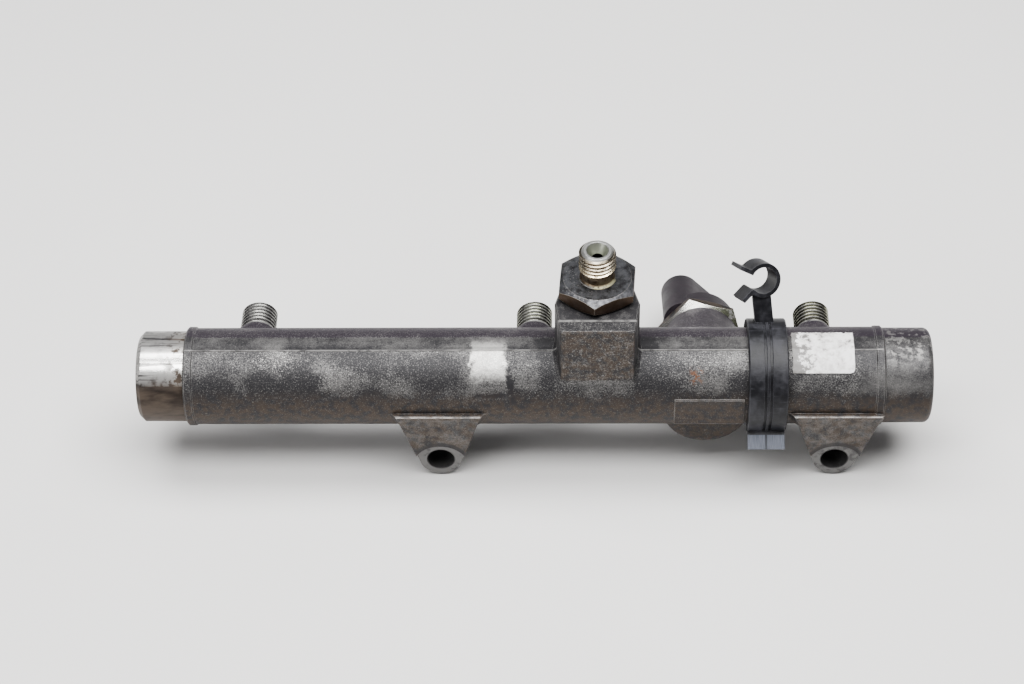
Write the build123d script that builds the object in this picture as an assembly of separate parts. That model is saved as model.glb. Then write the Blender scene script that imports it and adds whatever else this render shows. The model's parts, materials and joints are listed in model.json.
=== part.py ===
from build123d import *

import os
from math import cos, hypot, radians, sin, sqrt, tan

# Fuel rail of a diesel engine, in millimetres.
# It is a forged steel tube with three outlets, two fixing lugs, an inlet block,
# a pressure sensor at the back and a plastic clip that carries a small pipe.
# Each piece is drawn about the tube's axis, which lies along X with the middle outlet at 0.
# At the end all are moved, so that the origin is midway between the two fixing holes,
# on the face where the lugs meet the engine. +Y is the way the outlets point, +Z is up.

# Forged tube
TUBE_R = 16.0
SHOULDER_BEYOND = 21.2
JOURNAL_LEN = 15.7
LEFT_JOURNAL_R = 15.0
LEFT_JOURNAL_CHAMFER = 1.5
RIGHT_JOURNAL_R = 15.7
RIGHT_JOURNAL_ROUND = 2.2
LIP_R = 16.4
LIP_W = 2.6
LIP_BEVEL = 0.5
FLASH_W = 5.85
FLASH_Y = -1.0
FLASH_PROUD = 0.33
MARK_PAD_X = (46.2, 69.0)
MARK_PAD_Z = (-6.2, 4.5)
MARK_PAD_PROUD = 0.15

# Bore of the tube and the screw plug that closes it
BORE_R = 6.0
BORE_FLOOR = 12.0
PLUG_THREAD_R = 9.0
PLUG_PORT_DEPTH = 13.0
PLUG_LEN = 10.5
PLUG_HEX_AF = 10.0
PLUG_HEX_DEPTH = 6.0
PLUG_CHAMFER = 0.8
PLUG_NOSE_SPARE = 0.6
SEAT_ANGLE = 30.0

# Threads are plain cylinders at the pitch radius, and a screwed pair has this clearance
PITCH_SHARE = 0.6495
THREAD_PITCH = 1.5
THREAD_RUN_IN = 0.4
SCREW_CLEARANCE = 0.05
SHANK_BEVEL = 1.0

# The cones that bevel a hexagon start this far outside its corners
HEX_SPARE = 0.01

# Blends at a forged foot are made on a core this far under the tube's surface
SEAM_SINK = 0.1

# Outlets, whose forged bosses flare by these reaches to the left and right deep in the tube's wall
OUTLET_PITCH = 93.6
OUTLET_THREAD_D = 12.0
OUTLET_END = 29.75
OUTLET_THREAD_LEN = 10.5
OUTLET_CHAMFER = 0.8
OUTLET_BOSS_R = 6.4
OUTLET_BOSS_REACHES = ((14.6, 6.6), (14.0, 9.5), (11.6, 14.6))
OUTLET_BOSS_FOOT_Z = 7.6
OUTLET_BLEND = 3.0
CONE_MOUTH_R = 3.4
OUTLET_DRILL_R = 1.2
OUTLET_DRILL_FLOOR = 9.0
THROTTLE_R = 0.45
CONE_HALF_ANGLE = 30.0

# Fixing lugs, whose sides lean out from the eye by these angles
LEFT_LUG_X = -31.3
RIGHT_LUG_BEYOND = 6.6
LUG_LEANS = ((16.0, 16.0), (17.5, 16.3))
LUG_HOLE_Z = -25.1
LUG_HOLE_R = 4.5
LUG_EYE_R = 7.8
LUG_TOP_Z = -1.6
LUG_FRONT_TOP = 18.2
LUG_FRONT_FOOT = 15.6
LUG_BACK = 2.0
LUG_DRAFT = 3.0
LUG_BLEND = 3.3
LUG_EDGE_ROUND = 0.7
SPOT_FACE_R = 8.6
SPOT_FACE_DEPTH = 14.6

# Inlet block and the union screwed into it
INLET_X = 20.9
INLET_Y = 6.5
BLOCK_HALF_W = 13.8
BLOCK_FRONT = 13.0
BLOCK_BACK = 19.5
BLOCK_TOP = 33.2
BLOCK_BACK_FOOT = 14.0
BLOCK_HEEL_TURN = 12.6
BLOCK_BLEND = 2.2
BLOCK_FRONT_DRAFT = 8.1
BLOCK_BACK_DRAFT = 15.0
BLOCK_CORNER = 1.0
BLOCK_BACK_CORNER = 4.5
BLOCK_TOP_BEVEL = 0.4
INLET_THREAD_R = 8.0
INLET_PORT_DEPTH = 14.0
INLET_SHANK_LEN = 12.0
INLET_DRILL_R = 2.2
UNION_AF = 24.0
UNION_HEX_H = 5.4
UNION_HEX_CHAMFER = 0.9
UNION_HEX_FOOT = 0.3
UNION_HEX_TURN = 26.0
UNION_NECK_R = 5.1
UNION_NECK_LEN = 3.1
UNION_NECK_FLARE = 0.8
UNION_THREAD_D = 12.0
UNION_THREAD_LEN = 7.5
UNION_END_CHAMFER = 1.0
UNION_BORE_R = 1.75
UNION_MOUTH_R = 3.65
WASHER_THICK = 0.6
WASHER_R = 11.4
WASHER_CLEARANCE = 0.2

# Pressure sensor, measured out from the tube's axis
SENSOR_X = 56.8
SENSOR_DROP = 22.0
BOSS_R = 13.1
BOSS_END = 27.9
BOSS_BEVEL = 0.6
BELLY_R = 14.4
BELLY_Z = -7.3
BELLY_FRONT = 11.2
BELLY_BACK = 9.0
BELLY_ROUND = 3.5
BELLY_BLEND = 2.2
SENSOR_THREAD_R = 9.0
SENSOR_SHANK_LEN = 13.0
SENSOR_PORT_SPARE = 1.0
SENSOR_DRILL_R = 2.0
SENSOR_AF = 27.0
SENSOR_HEX_H = 4.7
SENSOR_HEX_CHAMFER = 1.2
SENSOR_HEX_TURN = 14.3
SENSOR_NECK_R = 8.8
SENSOR_NECK_LEN = 2.6
CELL_R = 4.0
CELL_BORE_R = 2.4
CELL_H = 3.6
CELL_SKIN = 0.5
BOARD_R = 8.3
BOARD_THICK = 1.0
BOARD_CLEARANCE = 0.25
SHELL_R = 12.75
SHELL_DISC_LEN = 9.8
SHELL_END = 27.3
SHELL_CLEARANCE = 0.1
SHELL_FLOOR = 4.0
SOCKET_END_R = 6.8
SOCKET_WALL = 1.5
SOCKET_CENTRES = 12.4
SOCKET_SHIFT = 1.6
SOCKET_TURN = 42.0
SOCKET_FOOT = 1.5
SHELL_BEVEL = 0.5
LATCH_W = 5.0
LATCH_LEN = 4.0
LATCH_H = 1.6
LATCH_SETBACK = 1.5
PIN_PITCH = 4.2
PIN_W = 1.5
PIN_THICK = 0.64
PIN_REACH = 8.0
PIN_TIP = 0.2
RING_R = 10.4
RING_SECTION_R = 0.65
RING_CLEARANCE = 0.02

# Pipe clip, with its stalk along the local Y
CLIP_X = 76.6
CLIP_TURN = 59.6
CLIP_FIT = 0.06
CLIP_WALL = 2.5
CLIP_W = 12.8
CLIP_GROOVE_W = 2.8
CLIP_GROOVE_DEPTH = 0.7
CLIP_RIB_W = 0.9
CLIP_EDGE = 0.35
CLIP_GAP_HALF = 23.0
CLIP_LIP_REACHES = (24.8, 21.2)
CLIP_LIP_THICK = 1.3
STALK_W = 6.0
STALK_DEPTH = 6.0
STALK_FOOT_X = -0.6
HOOK_X = -2.35
HOOK_CENTRE = 33.1
HOOK_R = 5.75
HOOK_WALL = 1.3
HOOK_DEPTH = 8.3
HOOK_TWIST = 17.8
HOOK_MOUTH = (146.0, 222.0)
HOOK_THROAT = 0.9
HOOK_LIPS = (4.4, 4.6)
HOOK_LIP_ANGLES = (154.0, 224.0)

# Values that follow from the sizes above
OUTLETS_X = (-OUTLET_PITCH, 0.0, OUTLET_PITCH)
LUG_HOLES_X = (LEFT_LUG_X, OUTLET_PITCH + RIGHT_LUG_BEYOND)
TUBE_HALF = OUTLET_PITCH + SHOULDER_BEYOND
WALL_MIDDLE_R = (BORE_R + TUBE_R) / 2
OUTLET_PITCH_R = OUTLET_THREAD_D / 2 - PITCH_SHARE * THREAD_PITCH / 2
UNION_PITCH_R = UNION_THREAD_D / 2 - PITCH_SHARE * THREAD_PITCH / 2
END_X = TUBE_HALF + JOURNAL_LEN
BOLTS_MIDDLE_X = sum(LUG_HOLES_X) / 2
FLASH_EDGE_Y = FLASH_Y - FLASH_W / 2
FLASH_TOP = sqrt(TUBE_R ** 2 - FLASH_EDGE_Y ** 2) + FLASH_PROUD
CLIP_IN_R = hypot(FLASH_EDGE_Y, FLASH_TOP) + CLIP_FIT
CLIP_OUT_R = CLIP_IN_R + CLIP_WALL
BOARD_SEAT = SENSOR_NECK_LEN + CELL_H + BOARD_CLEARANCE + BOARD_THICK
SOCKET_FLOOR = BOARD_SEAT + SHELL_FLOOR

# Places of the pieces in the rail
AT_INLET = Pos(INLET_X, INLET_Y, 0)
AT_SENSOR = Pos(SENSOR_X, 0, 0) * Rot(-90 - SENSOR_DROP, 0, 0)
AT_SENSOR_HEX = AT_SENSOR * Pos(0, 0, BOSS_END)
AT_SHELL = AT_SENSOR_HEX * Pos(0, 0, SENSOR_HEX_H)
SOCKET_PLACE = Rot(0, 0, SOCKET_TURN) * Pos(-SOCKET_SHIFT, 0, 0)
AT_PLUG = Pos(-END_X, 0, 0) * Rot(0, -90, 0)
AT_UNION = AT_INLET * Pos(0, 0, BLOCK_TOP + WASHER_THICK)
AT_CLIP = Pos(CLIP_X, 0, 0) * Rot(CLIP_TURN, 0, 0)
TO_BOLTS = Pos(-BOLTS_MIDDLE_X, -LUG_BACK, -LUG_HOLE_Z)


def at_outlet(x):
    """Place whose Z points out of the outlet at x."""
    return Pos(x, 0, 0) * Rot(-90, 0, 0)


def turned(points):
    """Solid of revolution about Z from (radius, height) points."""
    return revolve(make_face(Polyline(*[(r, 0, z) for r, z in points], close=True)), Axis.Z)


def cylinder_from(radius, low, high):
    """Cylinder about Z between two heights."""
    return Pos(0, 0, low) * extrude(Circle(radius), high - low)


def hexagon_bar(across_flats, height, turn, foot_bevel, top_bevel):
    """Hexagon bar with its corners turned off at both ends."""
    corner_r = across_flats / 2 / cos(radians(30)) + HEX_SPARE
    rise = tan(radians(30))
    foot_r = across_flats / 2 - foot_bevel
    top_r = across_flats / 2 - top_bevel
    barrel = turned([
        (0, 0),
        (foot_r, 0),
        (corner_r, (corner_r - foot_r) * rise),
        (corner_r, height - (corner_r - top_r) * rise),
        (top_r, height),
        (0, height),
    ])
    bar = extrude(RegularPolygon(across_flats / 2, 6, major_radius=False, rotation=turn), height)
    return bar & barrel


def forged_tube():
    """Tube with a lip at each shoulder, a turned left end and a rough right end."""
    outline = Polyline(
        (-END_X, 0),
        (-END_X, LEFT_JOURNAL_R - LEFT_JOURNAL_CHAMFER),
        (-END_X + LEFT_JOURNAL_CHAMFER, LEFT_JOURNAL_R),
        (-TUBE_HALF, LEFT_JOURNAL_R),
        (-TUBE_HALF, LIP_R - LIP_BEVEL),
        (-TUBE_HALF + LIP_BEVEL, LIP_R),
        (-TUBE_HALF + LIP_W, LIP_R),
        (-TUBE_HALF + LIP_W + LIP_BEVEL, TUBE_R),
        (TUBE_HALF - LIP_W - LIP_BEVEL, TUBE_R),
        (TUBE_HALF - LIP_W, LIP_R),
        (TUBE_HALF - LIP_BEVEL, LIP_R),
        (TUBE_HALF, LIP_R - LIP_BEVEL),
        (TUBE_HALF, RIGHT_JOURNAL_R),
        (END_X, RIGHT_JOURNAL_R),
        (END_X, 0),
        close=True,
    )
    tube = revolve(make_face(outline), Axis.X)
    end_edge = tube.edges().filter_by(GeomType.CIRCLE).sort_by(Axis.X)[-1]
    return fillet(end_edge, RIGHT_JOURNAL_ROUND)


def outlet_boss(left, right):
    """Forged boss: round where the thread ends, and flared deep in the tube's wall."""
    foot = Pos((right - left) / 2, 0, WALL_MIDDLE_R) * Ellipse((left + right) / 2, OUTLET_BOSS_FOOT_Z)
    end = Pos(0, 0, OUTLET_END - OUTLET_THREAD_LEN) * Circle(OUTLET_BOSS_R)
    return loft([foot.face(), end.face()], ruled=True)


def with_outlet_bosses(tube):
    """Adds the three forged bosses and blends each into the tube."""
    bosses = [at_outlet(x) * outlet_boss(left, right)
              for x, (left, right) in zip(OUTLETS_X, OUTLET_BOSS_REACHES)]
    whole = tube + bosses
    return fillet(new_edges(tube, *bosses, combined=whole), OUTLET_BLEND)


def outlet_stub(x):
    """Threaded end of an outlet, at the thread's pitch radius."""
    return at_outlet(x) * turned([
        (0, WALL_MIDDLE_R),
        (OUTLET_PITCH_R, WALL_MIDDLE_R),
        (OUTLET_PITCH_R, OUTLET_END - OUTLET_CHAMFER),
        (OUTLET_PITCH_R - OUTLET_CHAMFER, OUTLET_END),
        (0, OUTLET_END),
    ])


def outlet_bore(x):
    """Cone seat, drilling and throttle that lead into the tube's bore."""
    cone_depth = (CONE_MOUTH_R - OUTLET_DRILL_R) / tan(radians(CONE_HALF_ANGLE))
    return at_outlet(x) * turned([
        (0, 0),
        (THROTTLE_R, 0),
        (THROTTLE_R, OUTLET_DRILL_FLOOR),
        (OUTLET_DRILL_R, OUTLET_DRILL_FLOOR),
        (OUTLET_DRILL_R, OUTLET_END - cone_depth),
        (CONE_MOUTH_R, OUTLET_END),
        (0, OUTLET_END),
    ])


def blended_foot(piece, middle_x, radius, back_y):
    """The piece on a short core of the tube, with its foot blended in front of the plane at back_y."""
    core = Pos(middle_x, 0, 0) * Rot(0, 90, 0) * cylinder_from(TUBE_R - SEAM_SINK, -2 * TUBE_R, 2 * TUBE_R)
    whole = core + piece
    seams = new_edges(core, piece, combined=whole)
    return fillet([edge for edge in seams if edge.center().Y < back_y], radius)


def lug_web(hole_x, leans):
    """Web whose sides lean out from the eye, drafted to the front and carried up past the tube."""
    back = TUBE_R + LUG_BACK
    eye_r = LUG_EYE_R + back * tan(radians(LUG_DRAFT))
    touches = []
    tops = []
    for side, lean in zip((-1, 1), leans):
        slope = radians(lean)
        touch = (hole_x + side * eye_r * cos(slope), LUG_HOLE_Z - eye_r * sin(slope))
        run = (back - touch[1]) * tan(slope)
        touches.append(touch)
        tops.append((touch[0] + side * run, back))
    outline = Line(touches[0], tops[0]) + Line(tops[0], tops[1]) + Line(tops[1], touches[1])
    outline += ThreePointArc(touches[1], (hole_x, LUG_HOLE_Z - eye_r), touches[0])
    face = Pos(0, back, 0) * (Plane.XZ * make_face(outline))
    return extrude(face, back + LUG_FRONT_TOP, taper=LUG_DRAFT)


def lug(hole_x, leans):
    """Web with a sloping front, a ledge along its top and a blend where it leaves the tube."""
    web = blended_foot(lug_web(hole_x, leans), hole_x, LUG_BLEND, TUBE_R)
    foot_z = LUG_HOLE_Z - LUG_EYE_R
    deep_z = foot_z - LUG_EYE_R
    side = Plane.YZ * make_face(Polyline(
        (-LUG_FRONT_TOP, LUG_TOP_Z),
        (-LUG_FRONT_FOOT, foot_z),
        (-LUG_FRONT_FOOT, deep_z),
        (LUG_BACK, deep_z),
        (LUG_BACK, LUG_TOP_Z),
        close=True,
    ))
    web = web & extrude(side, TUBE_HALF, both=True)
    front = web.faces().sort_by(Axis.Y)[0]
    return fillet(front.edges(), LUG_EDGE_ROUND)


def with_lugs(rail):
    """Adds both lugs."""
    return rail + [lug(x, leans) for x, leans in zip(LUG_HOLES_X, LUG_LEANS)]


def lug_holes():
    """Bolt holes with their spot faces, drilled along Y."""
    cuts = []
    for x in LUG_HOLES_X:
        here = Pos(x, 0, LUG_HOLE_Z) * Rot(90, 0, 0)
        cuts.append(here * cylinder_from(LUG_HOLE_R, -2 * TUBE_R, 2 * TUBE_R))
        cuts.append(here * cylinder_from(SPOT_FACE_R, SPOT_FACE_DEPTH, 2 * TUBE_R))
    return cuts


def inlet_block():
    """Forged block under the inlet union, drafted both ways from the parting plane."""
    front_half = BLOCK_HALF_W - BLOCK_FRONT * tan(radians(BLOCK_FRONT_DRAFT))
    back_half = BLOCK_HALF_W - BLOCK_BACK * tan(radians(BLOCK_BACK_DRAFT))
    plan = make_face(Polyline(
        (-front_half, -BLOCK_FRONT),
        (front_half, -BLOCK_FRONT),
        (BLOCK_HALF_W, 0),
        (back_half, BLOCK_BACK),
        (-back_half, BLOCK_BACK),
        (-BLOCK_HALF_W, 0),
        close=True,
    ))
    corners = plan.vertices().sort_by(Axis.Y)
    plan = fillet(corners[:2], BLOCK_CORNER)
    plan = fillet(plan.vertices().sort_by(Axis.Y)[-2:], BLOCK_BACK_CORNER)
    block = extrude(plan, BLOCK_TOP)
    heel = radians(BLOCK_HEEL_TURN)
    side = Plane.YZ * make_face(Polyline(
        (-2 * TUBE_R, 0),
        (-2 * TUBE_R, BLOCK_TOP),
        (BLOCK_BACK, BLOCK_TOP),
        (BLOCK_BACK, BLOCK_BACK_FOOT),
        (TUBE_R * cos(heel), TUBE_R * sin(heel)),
        (0, 0),
        close=True,
    ))
    block = block & extrude(side, 2 * BLOCK_HALF_W, both=True)
    rim = block.faces().sort_by(Axis.Z)[-1].edges()
    block = Pos(INLET_X, 0, 0) * chamfer(rim, BLOCK_TOP_BEVEL)
    return blended_foot(block, INLET_X, BLOCK_BLEND, -BLOCK_CORNER)


def sensor_boss():
    """Boss that the sensor screws into, and the forged belly that fills in under it."""
    boss = AT_SENSOR * chamfer(
        cylinder_from(BOSS_R, 0, BOSS_END).faces().sort_by(Axis.Z)[-1].edges(), BOSS_BEVEL)
    belly = Rot(90, 0, 0) * cylinder_from(BELLY_R, -BELLY_BACK, BELLY_FRONT)
    belly = Pos(SENSOR_X, 0, BELLY_Z) * fillet(belly.faces().sort_by(Axis.Y)[0].edges(), BELLY_ROUND)
    return boss + blended_foot(belly, SENSOR_X, BELLY_BLEND, TUBE_R)


def screw_port(radius, depth, drill_r, drill_depth):
    """Tapped hole from Z 0 down, with a cone seat and a drilling below it."""
    cone = (radius - drill_r) * tan(radians(SEAT_ANGLE))
    return turned([
        (0, 0),
        (radius, 0),
        (radius, -depth),
        (drill_r, -depth - cone),
        (drill_r, -drill_depth),
        (0, -drill_depth),
    ])


def rail_body():
    """The forging with all its machining."""
    rail = with_outlet_bosses(forged_tube())
    rail = with_lugs(rail)
    rail += inlet_block()
    rail += sensor_boss()
    rail += Pos(0, FLASH_Y, 0) * Box(2 * (TUBE_HALF - LIP_W), FLASH_W, 2 * FLASH_TOP)
    rail += mark_pad()
    rail += [outlet_stub(x) for x in OUTLETS_X]
    rail -= lug_holes()
    rail -= [outlet_bore(x) for x in OUTLETS_X]
    rail -= AT_PLUG * screw_port(PLUG_THREAD_R, PLUG_PORT_DEPTH, BORE_R, 2 * END_X - BORE_FLOOR)
    rail -= AT_INLET * Pos(0, 0, BLOCK_TOP) * screw_port(
        INLET_THREAD_R, INLET_PORT_DEPTH, INLET_DRILL_R, BLOCK_TOP)
    rail -= AT_SENSOR_HEX * screw_port(
        SENSOR_THREAD_R, SENSOR_SHANK_LEN + SENSOR_PORT_SPARE, SENSOR_DRILL_R, BOSS_END)
    return rail


def mark_pad():
    """Bare flat that stands just proud of the tube's front."""
    width = MARK_PAD_X[1] - MARK_PAD_X[0]
    height = MARK_PAD_Z[1] - MARK_PAD_Z[0]
    depth = TUBE_R + MARK_PAD_PROUD - WALL_MIDDLE_R
    pad = Box(width, depth, height, align=(Align.MIN, Align.MIN, Align.MIN))
    return Pos(MARK_PAD_X[0], -TUBE_R - MARK_PAD_PROUD, MARK_PAD_Z[0]) * pad


def end_plug():
    """Screw plug with an internal hexagon, seated on the cone at the end of the bore."""
    radius = PLUG_THREAD_R - SCREW_CLEARANCE
    foot = SCREW_CLEARANCE - PLUG_PORT_DEPTH
    nose_r = BORE_R + PLUG_NOSE_SPARE
    nose = foot - (radius - nose_r) * tan(radians(SEAT_ANGLE))
    top = foot + PLUG_LEN
    plug = turned([
        (0, nose),
        (nose_r, nose),
        (radius, foot),
        (radius, top - PLUG_CHAMFER),
        (radius - PLUG_CHAMFER, top),
        (0, top),
    ])
    socket = RegularPolygon(PLUG_HEX_AF / 2, 6, major_radius=False)
    plug -= Pos(0, 0, top - PLUG_HEX_DEPTH) * extrude(socket, PLUG_LEN)
    return AT_PLUG * plug


def inlet_union():
    """Union for the high pressure pipe: shank, hexagon, neck, thread and cone seat."""
    shank_r = INLET_THREAD_R - SCREW_CLEARANCE
    neck_top = UNION_HEX_H + UNION_NECK_LEN
    end = neck_top + UNION_THREAD_LEN + UNION_END_CHAMFER
    cone_depth = (UNION_MOUTH_R - UNION_BORE_R) / tan(radians(CONE_HALF_ANGLE))
    spindle = turned([
        (UNION_BORE_R, -INLET_SHANK_LEN),
        (shank_r - SHANK_BEVEL, -INLET_SHANK_LEN),
        (shank_r, SHANK_BEVEL - INLET_SHANK_LEN),
        (shank_r, UNION_HEX_H),
        (UNION_NECK_R + UNION_NECK_FLARE, UNION_HEX_H),
        (UNION_NECK_R, UNION_HEX_H + UNION_NECK_FLARE),
        (UNION_NECK_R, neck_top - THREAD_RUN_IN),
        (UNION_PITCH_R, neck_top),
        (UNION_PITCH_R, end - UNION_END_CHAMFER),
        (UNION_PITCH_R - UNION_END_CHAMFER, end),
        (UNION_MOUTH_R, end),
        (UNION_BORE_R, end - cone_depth),
    ])
    hexagon = hexagon_bar(UNION_AF, UNION_HEX_H, UNION_HEX_TURN, UNION_HEX_FOOT, UNION_HEX_CHAMFER)
    hexagon -= cylinder_from(shank_r - SHANK_BEVEL, 0, UNION_HEX_H)
    return AT_UNION * (hexagon + spindle)


def inlet_seal_washer():
    """Flat washer between the union and the block."""
    ring = cylinder_from(WASHER_R, 0, WASHER_THICK)
    ring -= cylinder_from(INLET_THREAD_R + WASHER_CLEARANCE, 0, WASHER_THICK)
    return AT_INLET * Pos(0, 0, BLOCK_TOP) * ring


def sensor_port():
    """Steel body of the pressure sensor: screwed shank, hexagon and neck, drilled through."""
    shank_r = SENSOR_THREAD_R - SCREW_CLEARANCE
    neck_end = SENSOR_HEX_H + SENSOR_NECK_LEN
    spindle = turned([
        (SENSOR_DRILL_R, -SENSOR_SHANK_LEN),
        (shank_r - SHANK_BEVEL, -SENSOR_SHANK_LEN),
        (shank_r, SHANK_BEVEL - SENSOR_SHANK_LEN),
        (shank_r, SENSOR_HEX_H / 2),
        (SENSOR_NECK_R, SENSOR_HEX_H / 2),
        (SENSOR_NECK_R, neck_end),
        (SENSOR_DRILL_R, neck_end),
    ])
    hexagon = hexagon_bar(
        SENSOR_AF, SENSOR_HEX_H, SENSOR_HEX_TURN, SENSOR_HEX_CHAMFER, SENSOR_HEX_CHAMFER / 2)
    hexagon -= cylinder_from(SENSOR_NECK_R - SHANK_BEVEL, 0, SENSOR_HEX_H)
    return AT_SENSOR_HEX * (hexagon + spindle)


def sensor_diaphragm():
    """Small steel cup whose thin top bends with the pressure."""
    cell = turned([
        (CELL_BORE_R, 0),
        (CELL_R, 0),
        (CELL_R, CELL_H),
        (0, CELL_H),
        (0, CELL_H - CELL_SKIN),
        (CELL_BORE_R, CELL_H - CELL_SKIN),
    ])
    return AT_SHELL * Pos(0, 0, SENSOR_NECK_LEN) * cell


def sensor_board():
    """Round circuit board, held against the roof of the connector's base."""
    return AT_SHELL * cylinder_from(BOARD_R, BOARD_SEAT - BOARD_THICK, BOARD_SEAT)


def sensor_seal_ring():
    """Rubber ring between the hexagon and the connector."""
    section = Plane.XZ * Pos(RING_R, RING_SECTION_R + RING_CLEARANCE) * Circle(RING_SECTION_R)
    return AT_SHELL * revolve(section, Axis.Z)


def socket_shape(end_r):
    """Outline of the socket, two half circles joined by straight sides."""
    return SOCKET_PLACE * SlotCenterToCenter(SOCKET_CENTRES, 2 * end_r)


def pin_place(number):
    """Place of a pin along the socket's long axis."""
    return SOCKET_PLACE * Pos((number - 2) * PIN_PITCH, 0, BOARD_SEAT)


def pin_blade():
    """Flat contact blade with a bevelled tip."""
    length = SHELL_FLOOR + PIN_REACH
    blade = Box(PIN_THICK, PIN_W, length, align=(Align.CENTER, Align.CENTER, Align.MIN))
    return chamfer(blade.faces().sort_by(Axis.Z)[-1].edges(), PIN_TIP)


def sensor_pin(number):
    """One of the three contacts, from the board up into the socket."""
    return AT_SHELL * pin_place(number) * pin_blade()


def socket_latch():
    """Wedge that the plug's latch snaps over, on the side that faces down."""
    foot = SHELL_END - LATCH_SETBACK - LATCH_LEN
    wedge = Plane.YZ * make_face(Polyline(
        (SOCKET_END_R - SOCKET_WALL / 2, foot),
        (SOCKET_END_R + LATCH_H, foot),
        (SOCKET_END_R, foot + LATCH_LEN),
        (SOCKET_END_R - SOCKET_WALL / 2, foot + LATCH_LEN),
        close=True,
    ))
    return SOCKET_PLACE * extrude(wedge, LATCH_W / 2, both=True)


def sensor_connector():
    """Moulded shell: a round base over the sensor's works and the oblong socket."""
    shell = cylinder_from(SHELL_R, 0, SHELL_DISC_LEN)
    shell = chamfer(shell.faces().sort_by(Axis.Z)[-1].edges(), SHELL_BEVEL)
    shell += Pos(0, 0, SOCKET_FOOT) * extrude(socket_shape(SOCKET_END_R), SHELL_END - SOCKET_FOOT)
    shell += socket_latch()
    groove_half = RING_SECTION_R + RING_CLEARANCE
    groove = cylinder_from(RING_R + groove_half, 0, 2 * groove_half)
    groove -= cylinder_from(RING_R - groove_half, 0, 2 * groove_half)
    shell -= groove
    shell -= cylinder_from(SENSOR_NECK_R + SHELL_CLEARANCE, 0, BOARD_SEAT)
    socket = extrude(socket_shape(SOCKET_END_R - SOCKET_WALL), SHELL_END - SOCKET_FLOOR)
    shell -= Pos(0, 0, SOCKET_FLOOR) * socket
    shell -= [pin_place(number) * pin_blade() for number in (1, 2, 3)]
    return AT_SHELL * shell


def clip_band():
    """Open band round the tube, with a rib in a groove and a lip at each side of the gap."""
    half = CLIP_W / 2
    groove = CLIP_GROOVE_W / 2
    rib = CLIP_RIB_W / 2
    bed = CLIP_OUT_R - CLIP_GROOVE_DEPTH
    band = revolve(make_face(Polyline(
        (-half, CLIP_IN_R),
        (half, CLIP_IN_R),
        (half, CLIP_OUT_R - CLIP_EDGE),
        (half - CLIP_EDGE, CLIP_OUT_R),
        (groove, CLIP_OUT_R),
        (groove, bed),
        (rib, bed),
        (rib, CLIP_OUT_R),
        (-rib, CLIP_OUT_R),
        (-rib, bed),
        (-groove, bed),
        (-groove, CLIP_OUT_R),
        (-half + CLIP_EDGE, CLIP_OUT_R),
        (-half, CLIP_OUT_R - CLIP_EDGE),
        close=True,
    )), Axis.X)
    far = 2 * CLIP_OUT_R
    gap = far * tan(radians(CLIP_GAP_HALF))
    wedge = Plane.YZ * make_face(Polyline((0, 0), (-far, gap), (-far, -gap), close=True))
    return band - extrude(wedge, CLIP_W, both=True)


def clip_lip(side, reach):
    """Lip that stands out from the band beside the gap, on the side +1 or -1."""
    height = reach - CLIP_IN_R - CLIP_WALL / 2
    lip = Box(CLIP_W - 2 * CLIP_EDGE, height, CLIP_LIP_THICK)
    lip = Pos(0, reach - height / 2, -side * CLIP_LIP_THICK / 2) * lip
    return Rot(side * (180 - CLIP_GAP_HALF), 0, 0) * lip


def hook_lip(number):
    """Flared end of the hook, a flat strip that starts at the edge of its mouth."""
    middle_r = HOOK_R - HOOK_WALL / 2
    start = HOOK_MOUTH[number]
    x = middle_r * cos(radians(start))
    y = middle_r * sin(radians(start))
    strip = Rectangle(HOOK_LIPS[number] + HOOK_WALL / 2, HOOK_WALL, align=(Align.MIN, Align.CENTER))
    return Pos(x, y) * Rot(0, 0, HOOK_LIP_ANGLES[number]) * Pos(-HOOK_WALL / 2, 0) * strip


def hook_outline():
    """Open ring with a flared lip at each side of its mouth and rounded throats."""
    far = 3 * HOOK_R
    mouth = Polyline(
        (0, 0),
        (far * cos(radians(HOOK_MOUTH[0])), far * sin(radians(HOOK_MOUTH[0]))),
        (far * cos(radians(HOOK_MOUTH[1])), far * sin(radians(HOOK_MOUTH[1]))),
        close=True,
    )
    ring = Circle(HOOK_R) - Circle(HOOK_R - HOOK_WALL) - make_face(mouth)
    outline = ring + hook_lip(0) + hook_lip(1)
    throats = [corner for corner in outline.vertices()
               if Vector(corner.X, corner.Y).length > HOOK_R - HOOK_WALL and corner.X > -HOOK_R]
    return fillet(throats, HOOK_THROAT)


def clip_hook():
    """Open ring that the small pipe snaps into, a little askew on its stalk."""
    hook = extrude(hook_outline(), HOOK_DEPTH / 2, both=True)
    return Pos(HOOK_X, HOOK_CENTRE, 0) * Rot(0, HOOK_TWIST, 0) * hook


def clip_stalk():
    """Stalk that leans from the band to the middle of the hook."""
    foot = CLIP_IN_R + CLIP_WALL / 2
    top = HOOK_CENTRE - HOOK_R + HOOK_WALL / 2
    top_x = STALK_FOOT_X + (HOOK_X - STALK_FOOT_X) * (top - foot) / (HOOK_CENTRE - foot)
    half = STALK_W / 2
    outline = Polyline(
        (STALK_FOOT_X - half, foot),
        (STALK_FOOT_X + half, foot),
        (top_x + half, top),
        (top_x - half, top),
        close=True,
    )
    return extrude(make_face(outline), STALK_DEPTH / 2, both=True)


def pipe_clip():
    """One moulding: band, lips, stalk and hook."""
    clip = clip_band() + clip_lip(1, CLIP_LIP_REACHES[0]) + clip_lip(-1, CLIP_LIP_REACHES[1])
    clip += clip_stalk()
    clip += clip_hook()
    return AT_CLIP * clip


def write(name, piece):
    """Moves a piece to the frame of the fixing holes and writes it."""
    export_step(TO_BOLTS * piece, os.path.join("parts", name + ".step"))


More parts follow.
